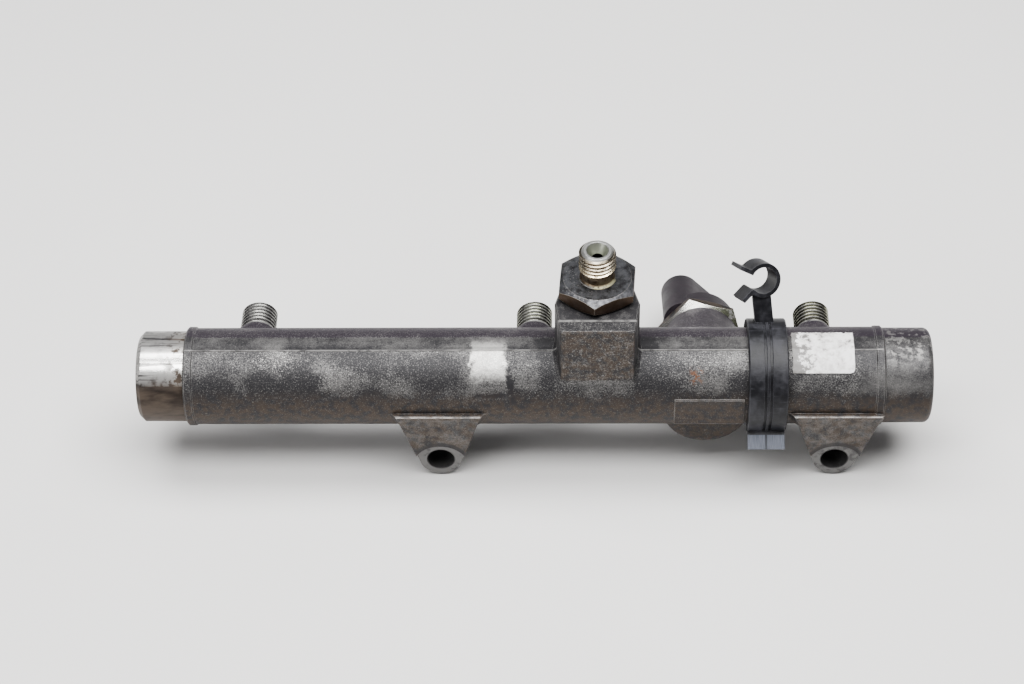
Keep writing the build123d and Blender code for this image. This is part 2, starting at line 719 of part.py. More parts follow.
os.makedirs("parts", exist_ok=True)
write("rail_body", rail_body())
write("end_plug", end_plug())
write("inlet_union", inlet_union())
write("inlet_seal_washer", inlet_seal_washer())
write("sensor_port", sensor_port())
write("sensor_diaphragm", sensor_diaphragm())
write("sensor_board", sensor_board())
write("sensor_seal_ring", sensor_seal_ring())
write("sensor_connector", sensor_connector())
for number in (1, 2, 3):
    write("sensor_pin_" + str(number), sensor_pin(number))
write("pipe_clip", pipe_clip())
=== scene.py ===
# %% [markdown]
# # Dressing a diesel fuel rail
# A fuel rail is a thick forged tube that holds diesel at high pressure and feeds it to the injectors.
# This one has three threaded outlets at the back, two lugs that bolt it down, a forged block with a
# screwed union on top, a pressure sensor behind, and a black plastic clip for a small pipe.
# It has been on an engine for years, so it is oily, mottled and wiped clean in one place.
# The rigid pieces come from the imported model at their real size. The lesson adds only what solids
# leave out: the finish of each surface, the crests of the fine threads and a worn white label.
# Loading the model first lets every new piece be placed from real sizes, with no fitting.

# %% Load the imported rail
import json
from math import cos, pi, radians, sin, tau

import bpy
from mathutils import Matrix, Vector, noise


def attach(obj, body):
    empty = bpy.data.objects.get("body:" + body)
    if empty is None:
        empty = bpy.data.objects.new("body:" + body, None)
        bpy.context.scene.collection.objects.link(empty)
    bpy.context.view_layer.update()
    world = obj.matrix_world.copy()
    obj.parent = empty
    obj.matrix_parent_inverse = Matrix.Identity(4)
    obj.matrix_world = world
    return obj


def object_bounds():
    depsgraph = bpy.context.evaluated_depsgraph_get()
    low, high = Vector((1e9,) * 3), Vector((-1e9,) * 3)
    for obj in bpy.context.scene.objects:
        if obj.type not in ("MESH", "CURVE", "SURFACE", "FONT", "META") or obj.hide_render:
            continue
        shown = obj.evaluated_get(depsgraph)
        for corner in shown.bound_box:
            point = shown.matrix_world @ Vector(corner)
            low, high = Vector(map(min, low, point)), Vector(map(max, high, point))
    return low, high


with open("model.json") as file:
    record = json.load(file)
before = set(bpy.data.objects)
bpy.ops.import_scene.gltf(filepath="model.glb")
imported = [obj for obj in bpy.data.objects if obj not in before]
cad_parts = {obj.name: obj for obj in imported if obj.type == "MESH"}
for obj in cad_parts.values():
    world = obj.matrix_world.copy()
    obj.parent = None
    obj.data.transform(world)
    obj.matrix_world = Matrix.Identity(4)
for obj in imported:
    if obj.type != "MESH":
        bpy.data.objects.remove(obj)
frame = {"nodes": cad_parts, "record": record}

MM = 0.001
cad_low, cad_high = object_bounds()
mounts = {mount["name"]: mount for mount in frame["record"]["mounts"]}
print("nodes in the frame:", len(frame["nodes"]))
print("size of the rail in mm:", [round(side / MM, 1) for side in cad_high - cad_low])

# %% [markdown]
# ## The camera
# The photograph was taken with a long lens from in front, looking down at about 45 degrees.
# A camera could be aimed with a Track To constraint, but the slight turn and roll of a hand-held shot
# would be lost. So its rotation is built from three plain angles, pitch, turn and roll.

# %% Place the camera
CAMERA_AT = Vector((-0.02225, -0.5827, 0.6233))
CAMERA_DOWN = radians(45.07)
CAMERA_TURN = radians(1.89)
CAMERA_ROLL = radians(-1.45)
LENS_MM = 88.25

camera_data = bpy.data.cameras.new("camera")
camera_data.lens = LENS_MM
camera_data.sensor_width = 36.0
camera_data.clip_start = 0.05
camera = bpy.data.objects.new("camera", camera_data)
bpy.context.scene.collection.objects.link(camera)
turn = Matrix.Rotation(CAMERA_TURN, 4, "Z")
pitch = Matrix.Rotation(pi / 2 - CAMERA_DOWN, 4, "X")
roll = Matrix.Rotation(CAMERA_ROLL, 4, "Z")
camera.matrix_world = Matrix.Translation(CAMERA_AT) @ turn @ pitch @ roll
bpy.context.scene.camera = camera
print("camera to rail in mm:", round(CAMERA_AT.length / MM))

# %% [markdown]
# ## Building materials from nodes
# A Blender material is a graph of nodes, and building it by hand in code soon repeats itself.
# A small class keeps the graph and gives each kind of node a short name, so that a finish can be
# written almost as it would be described. All its patterns are read from the object's own coordinates,
# turned into millimetres: they stick to the piece from every side, and a grain of 0.4 is 0.4 mm.
# The first part of the class only adds nodes and does arithmetic with them.

# %% Write the part that adds nodes
class Graph:
    """A material under construction. Each method adds nodes and returns a socket."""

    def __init__(self, name, **sockets):
        self.material = bpy.data.materials.new(name)
        self.material.use_nodes = True
        self.tree = self.material.node_tree
        self.shader = self.tree.nodes["Principled BSDF"]
        for socket, value in sockets.items():
            self.shader.inputs[socket.replace("_", " ")].default_value = value
        place = self.add("ShaderNodeTexCoord").outputs["Object"]
        scaled = self.add("ShaderNodeVectorMath", {"operation": "SCALE"}, Vector=place, Scale=1 / MM)
        self.mm = scaled.outputs["Vector"]
        parts = self.add("ShaderNodeSeparateXYZ", Vector=self.mm)
        self.x, self.y, self.z = parts.outputs

    def add(self, kind, settings=None, **inputs):
        """New node, with its settings and inputs; an input is a number, a colour or a socket."""
        node = self.tree.nodes.new(kind)
        for key, value in (settings or {}).items():
            setattr(node, key, value)
        for key, value in inputs.items():
            self.feed(node.inputs[key.replace("_", " ")], value)
        return node

    def feed(self, socket, value):
        if isinstance(value, bpy.types.NodeSocket):
            self.tree.links.new(value, socket)
        elif isinstance(value, tuple) and len(value) == 3 and socket.type == "RGBA":
            socket.default_value = (*value, 1)
        else:
            socket.default_value = value

    def math(self, operation, a, b=0.0):
        node = self.add("ShaderNodeMath", {"operation": operation})
        self.feed(node.inputs[0], a)
        self.feed(node.inputs[1], b)
        return node.outputs[0]

    def dot(self, a, b):
        node = self.add("ShaderNodeVectorMath", {"operation": "DOT_PRODUCT"})
        self.feed(node.inputs[0], a)
        self.feed(node.inputs[1], b)
        return node.outputs["Value"]


# %% [markdown]
# Most of a finish is about masks, numbers from 0 to 1 that say where something is. The second part
# joins them, and draws them from noise or from the way the surface faces.

# %% Write the part that makes masks
class Masks(Graph):
    """Masks joined with each other, and drawn from noise and from the surface."""

    def both(self, *masks):
        """Product of masks."""
        whole = masks[0]
        for mask in masks[1:]:
            whole = self.math("MULTIPLY", whole, mask)
        return whole

    def either(self, *masks):
        """Highest of masks."""
        whole = masks[0]
        for mask in masks[1:]:
            whole = self.math("MAXIMUM", whole, mask)
        return whole

    def outside(self, mask):
        return self.math("SUBTRACT", 1.0, mask)

    def plus(self, value, mask, gain):
        """Value plus gain times the mask."""
        return self.math("ADD", value, self.math("MULTIPLY", mask, gain))

    def swing(self, noise_value, gain, middle=0.0):
        """Noise that swings about a middle, gain times as far as it did."""
        return self.plus(middle - gain / 2, noise_value, gain)

    def step(self, value, low, high, start=0.0, end=1.0):
        """Smooth change from start at low to end at high."""
        node = self.add("ShaderNodeMapRange", {"interpolation_type": "SMOOTHSTEP"}, Value=value,
                        From_Min=low, From_Max=high, To_Min=start, To_Max=end)
        return node.outputs["Result"]

    def grain(self, size, detail=3.0, rough=0.5, stretch=(1, 1, 1), shift=0.0):
        """Noise from 0 to 1 whose main grain is size mm, drawn out by stretch."""
        mapping = self.add("ShaderNodeMapping", Vector=self.mm)
        mapping.inputs["Scale"].default_value = tuple(1 / (size * s) for s in stretch)
        mapping.inputs["Location"].default_value = (shift, shift, shift)
        node = self.add("ShaderNodeTexNoise", Vector=mapping.outputs["Vector"], Scale=1.0,
                        Detail=detail, Roughness=rough)
        return node.outputs[0]

    def normal(self):
        return self.add("ShaderNodeNewGeometry").outputs["Normal"]

    def facing(self, direction):
        """How squarely the surface faces a direction, from -1 to 1."""
        return self.dot(self.normal(), direction)


# %% [markdown]
# The last part mixes colours and numbers by those masks, bends the surface's normal, finds the worn
# edges and feeds the shader. Edges could be marked by hand, but a Bevel node finds them: where the
# rounded normal it gives departs from the true one, there is an edge.

# %% Write the part that feeds the shader
class Finish(Masks):
    """A finish for one kind of surface."""

    def mix(self, factor, a, b):
        """Colour between a and b."""
        node = self.add("ShaderNodeMix", {"data_type": "RGBA"})
        self.feed(node.inputs[0], factor)
        self.feed(node.inputs[6], a)
        self.feed(node.inputs[7], b)
        return node.outputs[2]

    def blend(self, factor, a, b):
        """Number between a and b."""
        node = self.add("ShaderNodeMix", {"data_type": "FLOAT"})
        for socket, value in zip(node.inputs[:1] + node.inputs[2:4], (factor, a, b)):
            self.feed(socket, value)
        return node.outputs[0]

    def bump(self, height, depth, under=None):
        """Normal bent by a height map from 0 to 1, depth mm deep."""
        node = self.add("ShaderNodeBump", Height=height, Distance=depth * MM)
        if under is not None:
            self.feed(node.inputs["Normal"], under)
        return node.outputs["Normal"]

    def worn_edges(self, radius):
        """Rounded normal, and a mask that is 1 on edges sharper than radius mm."""
        rounded = self.add("ShaderNodeBevel", {"samples": 6}, Radius=radius * MM).outputs["Normal"]
        return rounded, self.step(self.dot(rounded, self.normal()), 0.995, 0.93)

    def finish(self, color, rough, normal=None, metal=None):
        """Feeds the shader and returns the material."""
        self.feed(self.shader.inputs["Base Color"], color)
        self.feed(self.shader.inputs["Roughness"], rough)
        if normal is not None:
            self.feed(self.shader.inputs["Normal"], normal)
        if metal is not None:
            self.feed(self.shader.inputs["Metallic"], metal)
        return self.material


def dress(node, material):
    """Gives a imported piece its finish."""
    piece = frame["nodes"][node]
    for slot in piece.material_slots:
        slot.material = material
    print(node, "wears", material.name)


# %% [markdown]
# ## Forged and blasted steel
# The rail body is one forging. Its skin was blasted, which leaves a fine grain of bright flecks on grey,
# and years of oil and heat have darkened it in clouds. One image texture could show that from one side
# only. Here the skin is layered as the real one is: bare blasted metal below, an oily dark film above
# it, and between them the depth of that film, from 0 to 1. The film's depth is worked out from clouds,
# from the places where it is thick or rubbed away, and from a grain of about 0.4 mm.
# Places could be painted onto an unwrapped mesh, but a change of size would leave them behind. So they
# are told by real sizes: the distance along the tube in mm, and the turn round its axis in degrees.

# %% Write the masks that lie round the tube
TUBE_Y = -2.0
TUBE_Z = 25.1
TUBE_R = 16.0


def round_the_tube(f):
    """Turn about the tube's axis in degrees, 0 on top, 90 in front, and the distance from the axis."""
    across = f.math("SUBTRACT", TUBE_Y, f.y)
    above = f.math("SUBTRACT", f.z, TUBE_Z)
    turned = f.math("MULTIPLY", f.math("ARCTAN2", across, above), 180 / pi)
    squares = f.math("ADD", f.both(across, across), f.both(above, above))
    return turned, f.math("SQRT", squares)


def patch(f, turned, at_x, at_turn, half_x, half_turn, shift):
    """Soft-edged cloudy patch on the tube, 1 in its middle."""
    along = f.math("DIVIDE", f.math("SUBTRACT", f.x, at_x), half_x)
    around = f.math("DIVIDE", f.math("SUBTRACT", turned, at_turn), half_turn)
    reach = f.math("SQRT", f.math("ADD", f.both(along, along), f.both(around, around)))
    rim = f.swing(f.grain(4.0, 4, 0.6, shift=shift), 1.6)
    return f.step(f.math("ADD", reach, rim), 1.45, 0.25)


def in_span(f, value, low, high, soft):
    """1 where value lies between low and high, with soft rims."""
    return f.both(f.step(value, low - soft, low + soft), f.step(value, high + soft, high - soft))


def near_axis(f, a, b, at_a, at_b, radius, soft=0.05):
    """1 within a radius of an axis that crosses the plane of a and b at a point."""
    da = f.math("SUBTRACT", a, at_a)
    db = f.math("SUBTRACT", b, at_b)
    reach = f.math("SQRT", f.math("ADD", f.both(da, da), f.both(db, db)))
    return f.step(reach, radius + soft, radius - soft)


# %% [markdown]
# The patches below are listed as (distance along X, turn, half length, half turn, how much they add to
# the film or take off it). Most are places where the real skin stands out: a smudge left of the middle,
# oil above the left lug, bright flecks beside both. Two, at X 3 and X -30, are painted shadow that the
# block casts on the tube either side of it. The marks are thin stripes of dirt, each given by
# its ends along X and its turns: the dark run that borders the wiped band and two lines below it.
# A flat land runs along the top of the forging, where its flash was trimmed off.

# %% List the places that stand out
PATCHES_AND_BLOCK_SHADOWS = (
    (-110.5, 58, 7.5, 26, 0.36),
    (-110.5, 12, 6.0, 26, 0.12),
    (-124.0, 52, 5.0, 11, 0.26),
    (-93.0, 22, 9.0, 14, 0.14),
    (-67.0, 44, 9.5, 21, 0.30),
    (-140.0, 62, 9.0, 16, 0.18),
    (7.0, 67, 9.0, 16, 0.32),
    # these two are painted shadow cast by the block, on its right and on its left
    (3.0, 30, 3.5, 44, 0.22),
    (-30.0, 30, 3.0, 40, 0.16),
    (40.0, 66, 12.0, 24, 0.22),
    (-118.0, 27, 8.0, 16, -0.24),
    (-98.5, 48, 9.0, 13, -0.24),
    (-80.0, 54, 7.0, 9, -0.16),
    (-30.0, 62, 12.0, 10, -0.12),
    (18.0, 40, 12.0, 22, -0.08),
    (68.0, 40, 9.0, 18, -0.16),
)
MARKS = (
    (-43.0, -41.8, 34, 60),
    (-42.4, -40.6, 50, 80),
    (-53.5, -43.8, 67.5, 70.5),
    (-52.5, -45.5, 80, 81.5),
)
LAND_TURN = (-6.9, 13.9)
print("places listed on the tube:", len(PATCHES_AND_BLOCK_SHADOWS) + len(MARKS))

# %% [markdown]
# The forging isn't a plain tube. Its block, bosses, lugs and belly stand out from it, and their skin is
# a little different. Their masks need no drawing: they are where the surface leaves the tube's radius,
# told apart by height and depth.

# %% Tell the forging's regions apart
BLOCK_X = -13.55
BLOCK_SPAN = 16.0
BLOCK_FOOT_Z = 30.0
BOSS_Y = 9.0
LEDGE_Z = 23.5
RIGHT_END_X = (70.0, 74.0)


def rail_regions(f, turned, reach):
    """Masks of what stands out from the tube, and of what was left smooth."""
    off_tube = f.step(reach, TUBE_R + 0.7, TUBE_R + 1.5)
    block_span = in_span(f, f.x, BLOCK_X - BLOCK_SPAN, BLOCK_X + BLOCK_SPAN, 0.5)
    block = f.both(off_tube, f.step(f.z, BLOCK_FOOT_Z, BLOCK_FOOT_Z + 1), block_span)
    boss = f.both(off_tube, f.step(f.y, BOSS_Y, BOSS_Y + 1))
    lug = f.both(off_tube, f.step(f.z, LEDGE_Z + 0.8, LEDGE_Z), f.step(f.y, BOSS_Y, BOSS_Y - 1))
    land = in_span(f, turned, *LAND_TURN, 0.6)
    smooth = f.either(land, lug, f.step(f.x, *RIGHT_END_X))
    return block, boss, lug, smooth


# %% [markdown]
# The film is thinnest on the upper front, where hands and rags reach, and thick behind; towards the
# underside the skin is made darker.
# A single noise would look like camouflage, so two are added, one of 12 mm clouds drawn out along the
# tube and one of 3 mm haze, and the listed patches are laid over them.

# %% Spread the clouds and the patches
def clouded_film(f, turned, haze):
    """Depth of the film with its patches and the painted shadows of the block, how bare its bright patches
    are, and a mask of the underside.
    """
    cloud = f.grain(12.0, 5, 0.55, stretch=(1.6, 1, 1))
    level = f.math("ADD", f.swing(cloud, 0.75, 0.90), f.swing(haze, 0.35))
    bare = 0.0
    for number, (at_x, at_turn, half_x, half_turn, gain) in enumerate(PATCHES_AND_BLOCK_SHADOWS):
        mask = patch(f, turned, at_x, at_turn, half_x, half_turn, number)
        if gain > 0:
            level = f.plus(level, mask, gain)
        else:
            bare = f.plus(bare, mask, -gain)
    # the skin is made darker towards the underside by a deeper film there
    low = f.step(turned, 56, 84)
    behind = f.step(turned, LAND_TURN[0] + 1, LAND_TURN[0] - 3)
    level = f.plus(f.plus(level, bare, -0.28), low, 0.24)
    return f.plus(level, behind, 0.14), bare, low


# %% [markdown]
# Sparks of bare metal show through the film where the blasting left peaks, and pits stay dark. That
# grain is too fine to model, so it is three noises: one for the general grain, one for the flecks,
# which crowd together in the bright patches, and one for the pits. It fades on smooth places.

# %% Scatter the flecks and the pits
def specks(f, bare, low, smooth):
    """Fine grain, bright flecks and dark pits, to add to the film's depth."""
    texture = f.plus(f.plus(1.0, smooth, -0.6), f.both(low, f.outside(smooth)), -0.35)
    speckle = f.swing(f.grain(0.40, 2, 0.65), 0.95)
    fleck = f.step(f.grain(0.37, 2, 0.6, shift=4), 0.54, 0.68)
    sparks = f.both(fleck, f.plus(0.32, bare, 2.0))
    pit = f.step(f.grain(0.8, 3, 0.7, shift=7), 0.42, 0.32)
    return f.both(f.plus(f.plus(speckle, sparks, -1.0), pit, 0.20), texture)


# %% [markdown]
# Three more things are on the skin: bright blotches on top of the right-hand end, a painted highlight on
# the upward-facing ledge over each lug, and the thin marks. Their rims are moved about by a noise, or they
# would look ruled.

# %% Draw the marks and the painted highlight on the ledges
RIGHT_SHOULDER_X = 80.35


def marked_film(f, turned, level, haze, lug):
    """Film with its blotches, painted highlights on the lug ledges and marks, held between 0 and 1."""
    blotch = f.both(f.step(f.x, RIGHT_SHOULDER_X, RIGHT_SHOULDER_X + 1), f.step(turned, 44, 10),
                    f.step(f.grain(2.2, 4, 0.6, shift=13), 0.50, 0.60))
    # painted highlight: the upward-facing ledge over each lug is made paler
    upward = f.both(lug, f.step(f.facing((0, 0, 1)), 0.6, 0.8))
    lit_ledge = f.both(upward, f.step(f.z, LEDGE_Z - 3.5, LEDGE_Z - 2.5), f.step(haze, 0.40, 0.55))
    level = f.plus(f.plus(level, blotch, -0.35), lit_ledge, -0.35)
    drift = f.swing(f.grain(3.0, 4, 0.6, shift=33), 3.0)
    marked_x = f.math("ADD", f.x, drift)
    marked_turn = f.plus(turned, drift, 2.0)
    for low_x, high_x, low_turn, high_turn in MARKS:
        mark = f.both(in_span(f, marked_x, low_x, high_x, 0.9),
                      in_span(f, marked_turn, low_turn, high_turn, 1.8))
        level = f.plus(level, f.both(mark, f.step(haze, 0.36, 0.56)), 0.50)
    return f.math("MAXIMUM", f.math("MINIMUM", level, 1.0), 0.0)


# %% [markdown]
# Now the depth of the film is put together. On the block, the bosses and the lugs it lies more evenly,
# so there the clouds give way to haze about a fixed depth. The bosses are made a little darker, and the
# belly under the sensor boss is darkened as painted shade.

# %% Put the film's depth together
BELLY_X = (6.0, 36.0)


def film_depth(f, turned, regions, haze):
    """Depth of the film all over the forging."""
    block, boss, lug, smooth = regions
    level, bare, low = clouded_film(f, turned, haze)
    level = f.blend(block, level, f.swing(haze, 0.7, 1.0))
    level = f.blend(f.either(boss, lug), level, f.swing(haze, 0.6, 0.92))
    shaded_belly = f.both(lug, in_span(f, f.x, *BELLY_X, 1.0))
    # the bosses are made darker, and the belly under the sensor boss gets painted shade
    level = f.plus(level, f.either(boss, shaded_belly), 0.12)
    level = f.math("ADD", f.math("MINIMUM", level, 1.05), specks(f, bare, low, smooth))
    return marked_film(f, turned, level, haze, lug)


# %% [markdown]
# The film has its own colours: blue-black on top and a little purple behind from the heat. On the
# underside and the front of the block it turns a mottled reddish brown, a painted reflection of red
# surroundings.
# A few specks of real rust sit beside the clip.

# %% Colour the film
OIL_FILM_AND_SHADE = (0.028, 0.027, 0.029)
HEATED_FILM = (0.036, 0.030, 0.038)
RED_REFLECTION_FILM = (0.058, 0.043, 0.033)
RUST = (0.12, 0.055, 0.030)
RUST_X = (16.8, 20.6)
RUST_TURN = (36, 54)


def film_color(f, turned, block):
    """Colour of the film with a painted reddish reflection below and on the block front, and a mask of the
    rust specks.
    """
    low = f.step(turned, 56, 92)
    red_reflection_mottle = f.step(f.grain(2.6, 4, 0.65, shift=3), 0.36, 0.60)
    # painted reflection: mottled reddish brown on the underside and on the front of the block
    front = f.both(block, f.step(f.facing((0, -1, 0)), 0.5, 0.8))
    color = f.mix(f.both(f.either(low, front), red_reflection_mottle), OIL_FILM_AND_SHADE, RED_REFLECTION_FILM)
    behind = f.step(turned, LAND_TURN[0] + 1, LAND_TURN[0] - 3)
    color = f.mix(f.both(behind, f.outside(block)), color, HEATED_FILM)
    spots = f.both(in_span(f, f.x, *RUST_X, 0.8), in_span(f, turned, *RUST_TURN, 4),
                   f.step(f.grain(1.3, 3, 0.6, shift=17), 0.48, 0.56))
    return f.mix(spots, color, RUST), spots


# %% [markdown]
# The machined places are bare: the left end journal, the stubs of the outlets and the spot faces on the
# lugs. The left journal was turned bright. It has dark scratches along its length and brown dirt against
# the shoulder. Round it the colour is darkened above turn 14 and below turn 37, a painted reflection that
# leaves a bright band where the overhead lamps reflect, and it is made darker and browner towards the
# underside. A polished cylinder alone would be too clean, so all of this is added up strip by strip round
# the journal.

# %% Dirty the left journal
def journal_dirt(f, turned, stain, shoulder):
    """Depth of the dirt and the painted reflection bands on the left journal, and a mask of its underside.
    """
    scratch = f.step(f.grain(0.8, 3, 0.6, stretch=(26, 1, 1), shift=2), 0.54, 0.64)
    # darker towards the underside of the journal
    low = f.step(turned, 36, 72)
    dirt = f.plus(f.math("MULTIPLY", scratch, 0.45), low, 0.90)
    # painted reflection: darker above turn 14 and below turn 37, leaving the band where the overhead lamps
    # reflect
    dirt = f.plus(dirt, f.step(turned, 17, 11), 0.50)
    dirt = f.plus(dirt, f.step(turned, 34, 40), 0.30)
    return f.plus(dirt, f.both(shoulder, f.step(stain, 0.1, 0.5)), 0.50), low


# %% [markdown]
# Where the cutter went is known exactly, so the masks of the machined places are sharp circles and planes.
# Their colour is steel under dirt, and on the journal under painted reflection bands too, which also dull
# the metal. It is brown against the journal's shoulder and towards its underside, and elsewhere it is the
# oil of the skin, which covers the spot faces almost as much as the lugs.

# %% Work out the machined skin
LEFT_SHOULDER_X = -149.25
SHOULDER_DIRT_X = (-157.0, -150.5)
OUTLET_THREAD_Y = 17.25
OUTLET_THREAD_R = 6.2
LUG_HOLES_X = (-65.75, 65.75)
SPOT_FACE_Y = -16.6
SPOT_FACE_R = 8.6
TURNED_STEEL = (0.62, 0.61, 0.59)
JOURNAL_BROWNS = ((0.026, 0.019, 0.015), (0.085, 0.066, 0.052))


def machined_skin(f, turned):
    """Mask of the machined places, and their colour, roughness and metal."""
    left = f.step(f.x, LEFT_SHOULDER_X + 0.1, LEFT_SHOULDER_X - 0.1)
    stubs = [near_axis(f, f.x, f.z, mounts[name]["pos_m"][0] / MM, TUBE_Z, OUTLET_THREAD_R)
             for name in ("outlet_1", "outlet_2", "outlet_3")]
    thread = f.both(f.either(*stubs), f.step(f.y, OUTLET_THREAD_Y - 0.1, OUTLET_THREAD_Y + 0.1))
    faces = [near_axis(f, f.x, f.z, x, 0.0, SPOT_FACE_R) for x in LUG_HOLES_X]
    faced = f.both(f.either(*faces), f.step(f.y, SPOT_FACE_Y - 0.2, SPOT_FACE_Y - 0.1))
    stain = f.step(f.grain(3.6, 5, 0.65, shift=11), 0.46, 0.70)
    shoulder = f.step(f.x, *SHOULDER_DIRT_X)
    on_journal, low = journal_dirt(f, turned, stain, shoulder)
    dirt = f.both(stain, f.outside(faced), f.blend(left, 0.60, 0.28))
    dirt = f.plus(dirt, f.both(left, on_journal), 1.0)
    dirt = f.plus(dirt, f.both(faced, f.step(stain, 0.0, 0.8, 0.74, 0.88)), 1.0)
    dirt = f.math("MINIMUM", f.plus(dirt, thread, 0.30), 1.0)
    brown = f.both(left, f.either(low, shoulder))
    drift = f.step(f.grain(5.0, 4, 0.6, stretch=(3, 1, 1), shift=41), 0.36, 0.62)
    color = f.mix(dirt, TURNED_STEEL, f.mix(brown, OIL_FILM_AND_SHADE, f.mix(drift, *JOURNAL_BROWNS)))
    return f.either(left, thread, faced), color, f.blend(dirt, 0.20, 0.46), f.blend(dirt, 0.95, 0.25)


# %% [markdown]
# Somebody wiped a band beside the middle outlet almost white. Its rims are ragged, because it was done
# with a rag: a strong fine noise moves them. Painted shade darkens a crescent above each spot face
# and the bolt holes.

# %% Wipe a band and paint shade on the lugs
WIPED_X = (-54.8, -43.6)
WIPED_TURN = (-3, 50)
BOLT_HOLE_R = 4.5
CRESCENT_RISE = 1.2
CRESCENT_W = 0.8
CRESCENT_Z = (3.0, 5.0)


def wiped_band(f, turned):
    """Mask of the band that was wiped clean."""
    ragged = f.swing(f.grain(1.8, 5, 0.7, shift=31), 8.0)
    return f.both(in_span(f, f.math("ADD", f.x, ragged), *WIPED_X, 1.1),
                  in_span(f, f.plus(turned, ragged, 4.0), *WIPED_TURN, 9),
                  f.step(turned, -8, 16, 0.30, 0.90))


def lug_dirt(f, machined):
    """Masks of the painted shade in the crescents above the spot faces and in the bolt holes."""
    shaded_crescents = [near_axis(f, f.x, f.z, x, CRESCENT_RISE, SPOT_FACE_R + CRESCENT_W, 0.5)
                 for x in LUG_HOLES_X]
    shaded_holes = [near_axis(f, f.x, f.z, x, 0.0, BOLT_HOLE_R + 0.3) for x in LUG_HOLES_X]
    above = f.both(f.either(*shaded_crescents), f.step(f.z, *CRESCENT_Z), f.outside(machined))
    return above, f.either(*shaded_holes)


# %% [markdown]
# The forged steel joins all of it: film over bare metal, the wiped band, edges rubbed bright, a painted
# highlight along the front corner of the land, the machined places and the painted shade on the lugs.
# The bump is a real grain too, 0.09 mm deep on the blasted skin and far less where it is smooth or
# machined.

# %% Build the forged steel
BARE_STEEL_AND_HIGHLIGHT = (0.43, 0.42, 0.405)
WIPED_STEEL = (0.62, 0.61, 0.585)


def forged_steel():
    f = Finish("forged_steel_oily", Specular_IOR_Level=0.3)
    turned, reach = round_the_tube(f)
    regions = rail_regions(f, turned, reach)
    haze = f.grain(3.4, 4, 0.6, shift=5)
    wiped = wiped_band(f, turned)
    film = f.plus(film_depth(f, turned, regions, haze), wiped, -0.66)
    film = f.math("MAXIMUM", film, 0.0)
    under, spots = film_color(f, turned, regions[0])
    color = f.mix(film, f.mix(wiped, BARE_STEEL_AND_HIGHLIGHT, WIPED_STEEL), under)
    color = f.mix(f.math("MULTIPLY", spots, 0.55), color, under)
    rounded, edge = f.worn_edges(0.35)
    # painted highlight: a bright line along the front corner of the land; the other rubbed edges are wear
    land_edge_highlight = f.both(in_span(f, turned, LAND_TURN[1] - 1.3, LAND_TURN[1] + 0.3, 0.3),
                       f.step(f.x, RIGHT_SHOULDER_X, RIGHT_SHOULDER_X - 1))
    rubbed = f.both(f.either(edge, land_edge_highlight), f.step(haze, 0.35, 0.6, 0.10, 0.45))
    color = f.mix(rubbed, color, BARE_STEEL_AND_HIGHLIGHT)
    machined, bright, bright_rough, bright_metal = machined_skin(f, turned)
    shaded_crescents, shaded_holes = lug_dirt(f, machined)
    # painted shade: the crescents above the spot faces and the bolt holes are darkened with the oil tone
    color = f.mix(f.math("MULTIPLY", shaded_crescents, 0.7), color, OIL_FILM_AND_SHADE)
    color = f.mix(machined, color, bright)
    color = f.mix(f.math("MULTIPLY", shaded_holes, 0.6), color, OIL_FILM_AND_SHADE)
    rough = f.blend(machined, f.blend(film, 0.42, 0.47), bright_rough)
    metal = f.blend(machined, f.blend(film, 0.92, 0.20), bright_metal)
    height = f.math("ADD", f.math("MULTIPLY", f.grain(0.45, 3, 0.6), 0.6), f.grain(1.6, 3, 0.5))
    height = f.both(height, f.plus(1.0, f.either(regions[3], machined), -0.65))
    return f.finish(color, rough, f.bump(height, 0.09, rounded), metal)


dress("rail_body", forged_steel())

# %% [markdown]
# ## Turned and plated steel
# The union, its washer, the plug and the sensor's hexagon are turned parts. Turning leaves fine rings
# round the axis, plating gives them a tint, and handling leaves dark dirt. The union also gets painted
# brown shade on its downward faces and painted shade in its drilling.
# The rings could be modelled, but at a hundredth of a millimetre they are only a bump. The dirt
# and the tint are masks along the piece's own axis, so each turned part gets a small recipe of its own.
# The union's is the longest: a dark hexagon with pale edges, a brown spindle, a grey mouth and cone,
# and a crescent of pale sealant at the spindle's foot.

# %% Build the union's finish
UNION_STEEL = (0.12, 0.122, 0.13)
PALE_EDGE = (0.50, 0.47, 0.42)
BROWN_SHADE_AND_DIRT = (0.085, 0.055, 0.035)
STAINED_ZINC = (0.20, 0.165, 0.12)
MOUTH_GREY = (0.34, 0.34, 0.33)
CONE_GREY = (0.30, 0.31, 0.265)
SEALANT = (0.60, 0.56, 0.36)
INLET_Y = 4.5
SPINDLE_R = 6.3
CONE_R = 3.5
DRILLING_R = 1.8
HEX_TOP_Z = 64.3
CONE_FOOT_Z = 68.0
MOUTH_Z = 74.6


